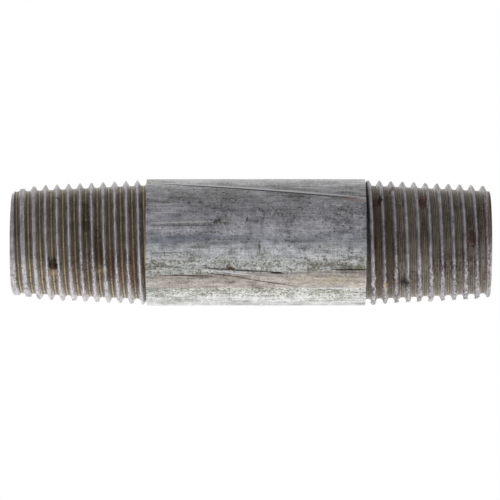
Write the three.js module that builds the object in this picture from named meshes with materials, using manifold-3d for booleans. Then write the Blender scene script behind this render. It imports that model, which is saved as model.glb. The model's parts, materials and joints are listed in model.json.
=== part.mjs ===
// Threaded pipe nipple: a short length of galvanised, welded steel pipe with a
// right-hand taper pipe thread (1/8-27) cut on both ends and a plain stretch between.
//
// Millimetres. The pipe's axis is X, +Z is up and the origin is at the middle of the
// axis. The longer thread is at the -X end. Outlines are lists of [x, radius] points.

import * as THREE from 'three';
import { ParametricGeometry } from 'three/addons/geometries/ParametricGeometry.js';
import { mergeGeometries, mergeVertices } from 'three/addons/utils/BufferGeometryUtils.js';
import Module from 'manifold-3d';

// Pipe
const NIPPLE_LENGTH = 39.1;
const STEEL_OUTSIDE = 10.29;
const STEEL_WALL = 1.73;
const ZINC_COAT = 0.055;
const SHOULDER_BREAK = 0.1; // chamfer at each end of the plain stretch
const BORE_REAM = 0.15; // chamfer at each mouth of the bore

// Inner weld seam
const SEAM_WIDTH = 0.8;
const SEAM_HEIGHT = 0.12;
const SEAM_ROOT = 0.3; // how deep the seam's solid reaches into the wall
const SEAM_TURN = THREE.MathUtils.degToRad(116); // from the top, by way of the front

// Taper pipe thread
const THREAD_PITCH = 25.4 / 27;
const THREAD_TAPER = 0.0975; // diameter lost for each millimetre towards the end
const SKIM_CUT = 0.025; // what the die takes off the bare steel's radius at the shoulder
const FLOOR_FLAT = 0.33;
const CREST_FLAT = 0.09;
const FLANK_ANGLE = THREE.MathUtils.degToRad(30); // from a plane across the axis

// The two ends. `direction` points out of the pipe, `crestFromFace` is how far inside the
// face the line along the top meets a crest, and `faceDrop` is how far the face's rim lies
// below the bare steel. The rim is rounded up to the lead cone over `rimLength`.
const LEFT_END = {
  direction: -1,
  threadLength: 11.02,
  crestFromFace: 0.829,
  faceDrop: 1.125,
  rimLength: 0.3,
  rimRise: 0.245,
  leadAngle: THREE.MathUtils.degToRad(12.2),
};
const RIGHT_END = {
  direction: 1,
  threadLength: 10.2,
  crestFromFace: 0.557,
  faceDrop: 0.795,
  rimLength: 0.1,
  rimRise: 0.15,
  leadAngle: THREE.MathUtils.degToRad(19),
};

// Solids that are joined or cut reach past each other by this much.
const OVERREACH = 0.15;

// Facets
const SEGMENTS_ROUND = 32;

const FACET_TURN = (2 * Math.PI) / SEGMENTS_ROUND;
const STEEL_RADIUS = STEEL_OUTSIDE / 2;
const PIPE_RADIUS = STEEL_RADIUS + ZINC_COAT;
const BORE_RADIUS = STEEL_RADIUS - STEEL_WALL - ZINC_COAT;
const CREST_RADIUS_AT_SHOULDER = STEEL_RADIUS - SKIM_CUT;
const FLANK_RUN = (THREAD_PITCH - FLOOR_FLAT - CREST_FLAT) / 2;
const THREAD_DEPTH = FLANK_RUN / Math.tan(FLANK_ANGLE);

const wasm = await Module();
wasm.setup();

/** Merges the vertices that the faces of a geometry share, at the same place. */
function welded(geometry) {
  const bare = geometry.clone();
  bare.deleteAttribute('normal');
  bare.deleteAttribute('uv');
  return mergeVertices(bare, 1e-4);
}

/** Turns a closed three.js geometry into a solid that can be joined and cut. */
function solidOf(geometry) {
  const merged = welded(geometry);
  return new wasm.Manifold(
    new wasm.Mesh({
      numProp: 3,
      vertProperties: new Float32Array(merged.attributes.position.array),
      triVerts: new Uint32Array(merged.index.array),
    }),
  );
}

/** Turns a solid back into a three.js geometry. */
function geometryOf(solid) {
  const mesh = solid.getMesh();
  const geometry = new THREE.BufferGeometry();
  geometry.setAttribute('position', new THREE.BufferAttribute(mesh.vertProperties, 3));
  geometry.setIndex(new THREE.BufferAttribute(mesh.triVerts, 1));
  geometry.computeVertexNormals();
  return geometry;
}

/** Turns a closed outline about the X axis. */
function turned(outline) {
  const points = outline.map(([x, radius]) => new THREE.Vector2(radius, x));
  points.push(points[0].clone());
  const geometry = new THREE.LatheGeometry(points, SEGMENTS_ROUND, FACET_TURN / 2);
  return geometry.rotateZ(-Math.PI / 2);
}

/** X of an end's flat face. */
function faceX(end) {
  return (end.direction * NIPPLE_LENGTH) / 2;
}

/** X of the plane where an end's thread stops against the plain stretch. */
function shoulderX(end) {
  return faceX(end) - end.direction * end.threadLength;
}

/** Crest radius of an end's thread at x, before its lead cone is cut. */
function crestRadius(end, x) {
  const out = end.direction * (x - shoulderX(end));
  return CREST_RADIUS_AT_SHOULDER - (out * THREAD_TAPER) / 2;
}

/** Radius of the floor of an end's thread groove at x. */
function floorRadius(end, x) {
  return crestRadius(end, x) - THREAD_DEPTH;
}

/** The plain stretch with its shoulders, and a core under both threads. */
function body() {
  const half = (end) => {
    const beyond = faceX(end) + end.direction * OVERREACH;
    return [
      [beyond, BORE_RADIUS - OVERREACH],
      [beyond, floorRadius(end, beyond) - OVERREACH],
      [shoulderX(end), floorRadius(end, shoulderX(end)) - OVERREACH],
      [shoulderX(end), PIPE_RADIUS - SHOULDER_BREAK],
      [shoulderX(end) - end.direction * SHOULDER_BREAK, PIPE_RADIUS],
    ];
  };
  return solidOf(turned([...half(LEFT_END), ...half(RIGHT_END).reverse()]));
}

/** Everything inside the two faces, the lead cones and the rims, and outside the bore. */
function envelope() {
  const clear = PIPE_RADIUS + OVERREACH;
  const half = (end) => {
    const faceRadius = STEEL_RADIUS - end.faceDrop;
    const rimRadius = faceRadius + end.rimRise;
    const leadLength = (clear - rimRadius) / Math.tan(end.leadAngle);
    const inwards = (along) => faceX(end) - end.direction * along;
    return [
      [inwards(BORE_REAM), BORE_RADIUS],
      [faceX(end), BORE_RADIUS + BORE_REAM],
      [faceX(end), faceRadius],
      [inwards(end.rimLength), rimRadius],
      [inwards(end.rimLength + leadLength), clear],
    ];
  };
  return solidOf(turned([...half(LEFT_END), ...half(RIGHT_END).reverse()]));
}

/**
 * Winds a strip of whole thread pitches once round the pipe while it climbs one pitch,
 * so that its start meets its end one pitch further on. The strip's `inner` and `outer`
 * outlines hold their points in the order of x, `pitchPoints` of them to each pitch.
 */
function wound(end, inner, outer, pitchPoints) {
  const outline = [...inner, ...outer.toReversed(), inner[0]];
  const startTurn = FACET_TURN / 2;
  const drop = (end.direction * THREAD_TAPER * THREAD_PITCH) / 2;
  const place = (share, turns, point) => {
    const [x, radius] = outline[Math.round(share * (outline.length - 1))];
    const angle = startTurn + turns * 2 * Math.PI;
    const reach = radius - turns * drop;
    point.set(x + turns * THREAD_PITCH, -reach * Math.sin(angle), reach * Math.cos(angle));
  };
  const skin = new ParametricGeometry(place, outline.length - 1, SEGMENTS_ROUND);
  const flat = (points) =>
    new THREE.ShapeGeometry(new THREE.Shape(points.map(([x, radius]) => new THREE.Vector2(x, radius))))
      .rotateX(Math.PI / 2 + startTurn);
  const startCap = flat([...outer.slice(0, pitchPoints + 1), inner[1], inner[0]]);
  startCap.index.array.reverse();
  const lastPitch = [...outer.slice(-pitchPoints - 1), inner.at(-1), inner.at(-2)];
  const endCap = flat(lastPitch.map(([x, radius]) => [x + THREAD_PITCH, radius - drop]));
  return mergeGeometries([skin, startCap, endCap].map(welded));
}

/** The space of one end's thread, from just under the shoulder to past the face. */
function threadZone(end) {
  const under = shoulderX(end) - end.direction * OVERREACH;
  const beyond = faceX(end) + end.direction * THREAD_PITCH;
  const across = 4 * PIPE_RADIUS;
  const zone = new THREE.BoxGeometry(Math.abs(beyond - under), across, across);
  return solidOf(zone.translate((beyond + under) / 2, 0, 0));
}

/** The helical ridge of one end's thread. */
function thread(end) {
  const startTurns = FACET_TURN / (4 * Math.PI);
  const crestAtStart =
    faceX(end) - end.direction * end.crestFromFace + startTurns * THREAD_PITCH;
  const low = Math.min(faceX(end), shoulderX(end)) - 2 * THREAD_PITCH;
  const high = Math.max(faceX(end), shoulderX(end)) + THREAD_PITCH;
  const first = Math.ceil((low - crestAtStart) / THREAD_PITCH);
  const last = Math.floor((high - crestAtStart) / THREAD_PITCH);
  const inner = [];
  const outer = [];
  for (let pitch = first; pitch <= last; pitch += 1) {
    const crest = crestAtStart + pitch * THREAD_PITCH;
    const start = crest - CREST_FLAT / 2 - FLANK_RUN;
    inner.push([start, floorRadius(end, start) - 2 * OVERREACH]);
    outer.push([start, floorRadius(end, start)]);
    if (pitch === last) break;
    for (const side of [-1, 1]) {
      const edge = crest + (side * CREST_FLAT) / 2;
      outer.push([edge, crestRadius(end, edge)]);
    }
    const foot = crest + CREST_FLAT / 2 + FLANK_RUN;
    outer.push([foot, floorRadius(end, foot)]);
  }
  return solidOf(wound(end, inner, outer, 4)).intersect(threadZone(end));
}

/** The low weld seam along the bore, rooted in the wall. */
function weldSeam() {
  const half = SEAM_WIDTH / 2;
  const wallAtEdge = Math.sqrt(BORE_RADIUS ** 2 - half ** 2);
  const section = new THREE.Shape();
  section.moveTo(-half, BORE_RADIUS + SEAM_ROOT);
  section.lineTo(-half, wallAtEdge);
  section.quadraticCurveTo(0, wallAtEdge - 2 * SEAM_HEIGHT, half, wallAtEdge);
  section.lineTo(half, BORE_RADIUS + SEAM_ROOT);
  const length = NIPPLE_LENGTH - 2 * BORE_REAM;
  const seam = new THREE.ExtrudeGeometry(section, {
    depth: length,
    bevelEnabled: false,
    curveSegments: 4,
  });
  seam.translate(0, 0, -length / 2);
  seam.rotateY(Math.PI / 2).rotateX(Math.PI / 2);
  seam.rotateX(SEAM_TURN);
  return solidOf(seam);
}

/** The finished nipple. Its facets' flats, not their corners, lie on the true radii. */
function pipeNipple() {
  const solid = body()
    .add(thread(LEFT_END))
    .add(thread(RIGHT_END))
    .intersect(envelope())
    .add(weldSeam());
  const cornerReach = 1 / Math.cos(FACET_TURN / 2);
  const geometry = geometryOf(solid).scale(1, cornerReach, cornerReach);
  const zinc = new THREE.MeshStandardMaterial({
    color: 0x9b9da0,
    roughness: 0.48,
    metalness: 0.85,
  });
  const mesh = new THREE.Mesh(geometry, zinc);
  mesh.name = 'pipe_nipple';
  return mesh;
}

const nipple = new THREE.Group();
nipple.add(pipeNipple());

export default nipple;
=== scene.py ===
"""Threaded pipe nipple of galvanised steel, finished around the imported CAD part.

Everything is in metres in the CAD's own frame: the pipe's axis is X, +Z is up and
the origin is at the middle of the axis. Angles round the pipe are "turns": they
start at the top and go by way of the front (-Y).
"""

from __future__ import annotations

import json
import logging
import math
from contextlib import contextmanager
from dataclasses import dataclass, field
from enum import Enum
from typing import Callable, Iterator

import bmesh
import bpy
import numpy as np
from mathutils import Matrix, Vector, noise

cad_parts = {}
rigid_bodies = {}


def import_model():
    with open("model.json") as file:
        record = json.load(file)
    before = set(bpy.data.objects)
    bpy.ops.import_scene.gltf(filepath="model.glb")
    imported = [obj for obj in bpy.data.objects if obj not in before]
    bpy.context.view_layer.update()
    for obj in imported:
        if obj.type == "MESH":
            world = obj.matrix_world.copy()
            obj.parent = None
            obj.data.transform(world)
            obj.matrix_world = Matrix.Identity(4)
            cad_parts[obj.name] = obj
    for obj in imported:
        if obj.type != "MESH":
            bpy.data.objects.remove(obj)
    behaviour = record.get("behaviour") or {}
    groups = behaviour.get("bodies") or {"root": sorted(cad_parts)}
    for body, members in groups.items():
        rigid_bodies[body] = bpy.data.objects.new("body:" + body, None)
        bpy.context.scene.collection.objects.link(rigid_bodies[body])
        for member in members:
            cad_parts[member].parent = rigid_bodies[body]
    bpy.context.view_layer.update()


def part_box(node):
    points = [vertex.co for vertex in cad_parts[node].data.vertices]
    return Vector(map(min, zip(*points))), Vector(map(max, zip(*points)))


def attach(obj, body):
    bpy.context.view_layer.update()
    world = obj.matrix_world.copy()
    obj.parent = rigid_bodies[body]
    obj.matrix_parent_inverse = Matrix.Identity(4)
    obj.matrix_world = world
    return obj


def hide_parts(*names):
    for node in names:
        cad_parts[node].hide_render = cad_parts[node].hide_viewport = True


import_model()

log = logging.getLogger("pipe_nipple")

MM = 0.001
NODE = "pipe_nipple"
NIPPLE_LOW, NIPPLE_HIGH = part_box(NODE)
SKIN_RADIUS = (NIPPLE_HIGH[2] - NIPPLE_LOW[2]) / 2
SEGMENTS_ROUND = 192
BAKE_MAP = "OFBake"
WHOLE_TURN = 2 * math.pi

# How near to a plane counts as on it
ON_PLANE = 3e-3 * MM

Colour = tuple[float, float, float]
Point = tuple[float, float]
Points = list[Point]
Socket = bpy.types.NodeSocket


class EndSide(Enum):
    """The two ends of the nipple, by the direction that they point in along X."""

    LONG = -1
    SHORT = 1


class Zone(Enum):
    """Where on the pipe a face lies; the last four are the flat rings across it."""

    OUTSIDE = 0
    BORE = 1
    LONG_FACE = 2
    LONG_SHOULDER = 3
    SHORT_SHOULDER = 4
    SHORT_FACE = 5


# ---------------------------------------------------------------- editing helpers


def deselect_everything() -> None:
    """Leaves no object selected or active."""
    for obj in bpy.context.view_layer.objects:
        obj.select_set(False)
    bpy.context.view_layer.objects.active = None


@contextmanager
def editing(obj: bpy.types.Object, mode: str = "EDGE") -> Iterator[None]:
    """Opens one object in edit mode, with nothing selected.

    Args:
        obj: The mesh object to edit.
        mode: What is selected: VERT, EDGE or FACE.
    """
    deselect_everything()
    obj.select_set(True)
    bpy.context.view_layer.objects.active = obj
    bpy.ops.object.mode_set(mode="EDIT")
    bpy.ops.mesh.select_mode(type=mode)
    bpy.ops.mesh.select_all(action="DESELECT")
    yield
    bpy.ops.object.mode_set(mode="OBJECT")


def places_of(mesh: bpy.types.Mesh) -> np.ndarray:
    """Gives a mesh's vertices as rows of x, y, z.

    Args:
        mesh: The mesh.

    Returns:
        One row for each vertex.
    """
    found = np.empty(len(mesh.vertices) * 3)
    mesh.vertices.foreach_get("co", found)
    return found.reshape(-1, 3)


def rows_of(mesh: bpy.types.Mesh, name: str) -> np.ndarray:
    """Gives one property of a mesh's faces, such as their centres, as rows of x, y, z.

    Args:
        mesh: The mesh.
        name: The property: center or normal.

    Returns:
        One row for each face.
    """
    found = np.empty(len(mesh.polygons) * 3)
    mesh.polygons.foreach_get(name, found)
    return found.reshape(-1, 3)


def move_to(mesh: bpy.types.Mesh, places: np.ndarray) -> None:
    """Puts a mesh's vertices at new places."""
    mesh.vertices.foreach_set("co", places.ravel())
    mesh.update()


def to_round(places: np.ndarray) -> tuple[np.ndarray, np.ndarray, np.ndarray]:
    """Turns x, y, z rows into the place along the pipe, the radius and the turn.

    Args:
        places: Rows of x, y, z.

    Returns:
        The x values, the distances from the axis, and the turns in radians, 0 to 2 pi.
    """
    x, y, z = places.T
    return x, np.hypot(y, z), np.arctan2(-y, z) % WHOLE_TURN


def from_round(x: np.ndarray, radius: np.ndarray, turn: np.ndarray) -> np.ndarray:
    """Turns places along the pipe, radii and turns back into x, y, z rows."""
    return np.stack([x, -radius * np.sin(turn), radius * np.cos(turn)], axis=1)


def soft_step(value: np.ndarray, low: float, high: float) -> np.ndarray:
    """Rises smoothly from 0 where value is low to 1 where it is high."""
    share = np.clip((value - low) / (high - low), 0.0, 1.0)
    return share * share * (3 - 2 * share)


def grain(places: np.ndarray, size: tuple[float, float, float], seed: float) -> np.ndarray:
    """Gives smooth noise from about -1 to 1 at each place.

    Args:
        places: Rows of x, y, z.
        size: How long the noise's lumps are along each axis.
        seed: Moves the noise, so that two calls differ.

    Returns:
        One value for each row.
    """
    scaled = places / np.array(size) + seed
    return np.array([noise.noise(Vector(row)) for row in scaled])


def select_edges(obj: bpy.types.Object, wanted: Callable[[Vector, Vector], bool]) -> None:
    """Selects, in edit mode, the edges whose two ends pass a test.

    Args:
        obj: The object being edited.
        wanted: Takes the places of an edge's two ends.
    """
    bpy.ops.object.mode_set(mode="OBJECT")
    mesh = obj.data
    for edge in mesh.edges:
        first, second = (mesh.vertices[i].co for i in edge.vertices)
        edge.select = wanted(first, second)
    bpy.ops.object.mode_set(mode="EDIT")


def open_tube(name: str, low: float, high: float, radius: float, rows: int) -> bpy.types.Object:
    """Makes an open tube along X from a cylinder without ends.

    Args:
        name: The new object's name.
        low: X of its left rim.
        high: X of its right rim.
        radius: Its radius.
        rows: How many rows of faces it has along its length.

    Returns:
        The tube, unturned and at the origin.
    """
    deselect_everything()
    bpy.ops.mesh.primitive_cylinder_add(
        vertices=SEGMENTS_ROUND,
        radius=radius,
        depth=high - low,
        end_fill_type="NOTHING",
        location=((low + high) / 2, 0, 0),
        rotation=(0, math.pi / 2, 0),
    )
    tube = bpy.context.active_object
    tube.name = tube.data.name = name
    bpy.ops.object.transform_apply(location=True, rotation=True, scale=True)
    with editing(tube):
        select_edges(tube, lambda a, b: abs(a.x - b.x) > (high - low) / 2)
        bpy.ops.mesh.subdivide(number_cuts=rows - 1)
    return tube


# ---------------------------------------------------------------- finishes


class Tint(Enum):
    """Colours that marks on the metal take; the pale tint and the dark grey tint also serve as painted
    highlights and painted shade.
    """

    PALE_AND_HIGHLIGHT = (0.86, 0.85, 0.88)
    GRIME_AND_SHADE = (0.10, 0.10, 0.11)
    BLACK = (0.025, 0.020, 0.018)
    RUST = (0.12, 0.042, 0.024)
    BROWN = (0.075, 0.040, 0.025)
    TAN = (0.62, 0.50, 0.33)
    PINK = (0.50, 0.38, 0.34)
    STEEL_BLUE = (0.26, 0.29, 0.36)
    OLIVE = (0.19, 0.17, 0.085)
    LILAC = (0.60, 0.60, 0.68)


@dataclass(frozen=True)
class Mark:
    """One scratch, spot or stain, placed on the metal in millimetres and degrees; some marks are painted
    highlights and painted shade.
    """

    x: float
    turn: float
    half_length: float
    half_width: float
    tint: Tint
    strength: float = 0.8
    slant: float = 0.0
    ragged: float = 1.5
    speckled: bool = False
    in_groove: bool = False
    relief: float = 0.0


@dataclass(frozen=True)
class Band:
    """Tone of the zinc at one turn round the pipe, partly its own and partly painted light and shade, and
    how spotted it is there.
    """

    turn: float
    colour: Colour
    spots: float


class Graph:
    """A node tree, with short ways to add the nodes that the finishes and the studio need."""

    def __init__(self, tree: bpy.types.NodeTree) -> None:
        """Wraps a node tree."""
        self.tree = tree

    def add(self, kind: str, **settings: object) -> bpy.types.Node:
        """Adds a node.

        Args:
            kind: The node's type.
            **settings: The node's own properties.

        Returns:
            The node.
        """
        node = self.tree.nodes.new(kind)
        for name, value in settings.items():
            setattr(node, name, value)
        return node

    def feed(self, socket: Socket, value: object) -> None:
        """Links a socket, or sets it if the value is a constant.

        Args:
            socket: The input that is fed.
            value: An output socket, or a constant.
        """
        if isinstance(value, bpy.types.NodeSocket):
            self.tree.links.new(value, socket)
        else:
            socket.default_value = value

    def calc(self, operation: str, *values: Socket | float) -> Socket:
        """Adds a Math node.

        Args:
            operation: The node's operation.
            *values: Its inputs, sockets or numbers.

        Returns:
            The result.
        """
        node = self.add("ShaderNodeMath", operation=operation)
        for socket, value in zip(node.inputs, values):
            self.feed(socket, value)
        return node.outputs[0]

    def parts(self, vector: Socket) -> tuple[Socket, Socket, Socket]:
        """Takes a vector apart.

        Args:
            vector: The vector.

        Returns:
            Its x, y and z.
        """
        node = self.add("ShaderNodeSeparateXYZ")
        self.feed(node.inputs[0], vector)
        return tuple(node.outputs)

    def span(self, value: Socket, start: float, end: float, low: float = 0.0, high: float = 1.0) -> Socket:
        """Maps a value smoothly from one range to another, and holds it at the ends.

        Args:
            value: The value.
            start: Where the first range starts.
            end: Where the first range ends.
            low: What start becomes.
            high: What end becomes.

        Returns:
            The value in the second range.
        """
        node = self.add("ShaderNodeMapRange", interpolation_type="SMOOTHSTEP")
        for name, number in (
            ("Value", value),
            ("From Min", start),
            ("From Max", end),
            ("To Min", low),
            ("To Max", high),
        ):
            self.feed(node.inputs[name], number)
        return node.outputs["Result"]


class MetalGraph(Graph):
    """A new metal material's node tree, with the pipe's own coordinates in it."""

    def __init__(self, name: str) -> None:
        """Makes the material with one Principled shader.

        Args:
            name: The material's name.
        """
        self.material = bpy.data.materials.new(name)
        self.material.use_nodes = True
        super().__init__(self.material.node_tree)
        self.place = self.scaled(self.add("ShaderNodeTexCoord").outputs["Object"], (1 / MM,) * 3)
        self.x, back, up = self.parts(self.place)
        angle = self.calc("ARCTAN2", self.calc("MULTIPLY", back, -1), up)
        self.turn = self.calc("MULTIPLY", angle, math.degrees(1))

    def scaled(self, vector: Socket, size: tuple[float, float, float]) -> Socket:
        """Multiplies a vector axis by axis.

        Args:
            vector: The vector.
            size: What each axis is multiplied by.

        Returns:
            The product.
        """
        node = self.add("ShaderNodeVectorMath", operation="MULTIPLY")
        self.feed(node.inputs[0], vector)
        self.feed(node.inputs[1], size)
        return node.outputs[0]

    def noise(self, stretch: tuple[float, float, float], detail: float, rough: float) -> Socket:
        """Adds noise from about 0.2 to 0.8.

        Args:
            stretch: How many lumps there are in a millimetre along each axis.
            detail: Its octaves.
            rough: How strong the fine octaves are.

        Returns:
            The noise's value.
        """
        node = self.add("ShaderNodeTexNoise")
        self.feed(node.inputs["Vector"], self.scaled(self.place, stretch))
        self.feed(node.inputs["Scale"], 1)
        self.feed(node.inputs["Detail"], detail)
        self.feed(node.inputs["Roughness"], rough)
        return node.outputs["Fac"]

    def blend(self, share: Socket | float, under: Socket | Colour, over: Socket | Colour) -> Socket:
        """Mixes two colours.

        Args:
            share: How much of the second colour shows, from 0 to 1.
            under: The first colour.
            over: The second colour.

        Returns:
            The mixed colour.
        """
        node = self.add("ShaderNodeMix", data_type="RGBA")
        self.feed(node.inputs["Factor"], share)
        for socket, value in ((node.inputs[6], under), (node.inputs[7], over)):
            self.feed(socket, (*value, 1) if isinstance(value, tuple) else value)
        return node.outputs[2]

    def shaded(self, colour: Socket, amount: Socket) -> Socket:
        """Multiplies a colour by a number.

        Args:
            colour: The colour.
            amount: The number.

        Returns:
            The lighter or darker colour.
        """
        node = self.add("ShaderNodeVectorMath", operation="SCALE")
        self.feed(node.inputs[0], colour)
        self.feed(node.inputs["Scale"], amount)
        return node.outputs[0]

    def contrast(self, parts: tuple[tuple[Socket, float], ...]) -> Socket:
        """Adds noises up into a brightness around 1.

        Args:
            parts: Each noise, with how strongly it counts.

        Returns:
            The brightness.
        """
        light = 1.0
        for noise_value, amount in parts:
            light = self.calc("MULTIPLY_ADD", self.calc("SUBTRACT", noise_value, 0.5), amount, light)
        return self.calc("MAXIMUM", light, 0.12)

    def ramp(self, value: Socket, stops: list[tuple[float, Colour]]) -> Socket:
        """Adds a colour ramp.

        Args:
            value: Where on the ramp the surface is, from 0 to 1.
            stops: Each stop's position and colour.

        Returns:
            The colour.
        """
        node = self.add("ShaderNodeValToRGB")
        elements = node.color_ramp.elements
        while len(elements) < len(stops):
            elements.new(0.5)
        for element, (position, colour) in zip(elements, stops):
            element.position = position
            element.color = (*colour, 1)
        self.feed(node.inputs["Fac"], value)
        return node.outputs["Color"]

    def attribute(self, name: str) -> Socket:
        """Reads one number that the mesh carries at its vertices."""
        return self.add("ShaderNodeAttribute", attribute_name=name).outputs["Fac"]

    def mask(self, mark: Mark, wobble: Socket) -> Socket:
        """Gives 1 inside a mark and 0 outside, with a ragged edge.

        Args:
            mark: The mark.
            wobble: Noise that makes the edge ragged.

        Returns:
            The mask.
        """
        along = self.calc("SUBTRACT", self.x, mark.x)
        off = self.calc("WRAP", self.calc("SUBTRACT", self.turn, mark.turn), 180, -180)
        around = self.calc("MULTIPLY", off, math.radians(1) * SKIN_RADIUS / MM)
        lean = self.calc("MULTIPLY", along, math.tan(math.radians(mark.slant)))
        across = self.calc("DIVIDE", self.calc("SUBTRACT", around, lean), mark.half_width)
        reach = self.calc("POWER", self.calc("ABSOLUTE", self.calc("DIVIDE", along, mark.half_length)), 3)
        rough = self.calc("MULTIPLY", self.calc("SUBTRACT", wobble, 0.5), mark.ragged * 2.5)
        distance = self.calc("ADD", self.calc("ADD", self.calc("ABSOLUTE", across), reach), rough)
        inside = self.span(distance, 1.3, 0.55)
        if mark.speckled:
            inside = self.calc("MULTIPLY", inside, self.span(wobble, 0.46, 0.58))
        return inside

    def marked(
        self,
        colour: Socket,
        height: Socket,
        marks: tuple[Mark, ...],
        wobble: Socket,
        depth: Socket | float = 1.0,
    ) -> tuple[Socket, Socket]:
        """Lays marks over a colour and a height.

        Args:
            colour: The colour under the marks.
            height: The bump height under the marks.
            marks: The marks, the lowest first.
            wobble: Noise that makes their edges ragged.
            depth: How deep in a groove the surface is, for the marks that keep to the grooves.

        Returns:
            The colour and the height with the marks on them.
        """
        for mark in marks:
            mask = self.mask(mark, wobble)
            if mark.in_groove:
                mask = self.calc("MULTIPLY", mask, depth)
            colour = self.blend(self.calc("MULTIPLY", mask, mark.strength), colour, mark.tint.value)
            if mark.relief:
                height = self.calc("MULTIPLY_ADD", mask, mark.relief, height)
        return colour, height

    def finish(
        self, colour: Socket, roughness: Socket, height: Socket, bump: float, metallic: float
    ) -> bpy.types.Material:
        """Wires the shader up.

        Args:
            colour: The base colour.
            roughness: The roughness.
            height: The bump height, about 0 to 1.
            bump: How deep the bump is, in metres.
            metallic: How metallic the surface is.

        Returns:
            The finished material.
        """
        shader = self.tree.nodes["Principled BSDF"]
        relief = self.add("ShaderNodeBump")
        self.feed(relief.inputs["Distance"], bump)
        self.feed(relief.inputs["Height"], height)
        self.feed(shader.inputs["Normal"], relief.outputs["Normal"])
        self.feed(shader.inputs["Base Color"], colour)
        self.feed(shader.inputs["Roughness"], roughness)
        self.feed(shader.inputs["Metallic"], metallic)
        return self.material


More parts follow.
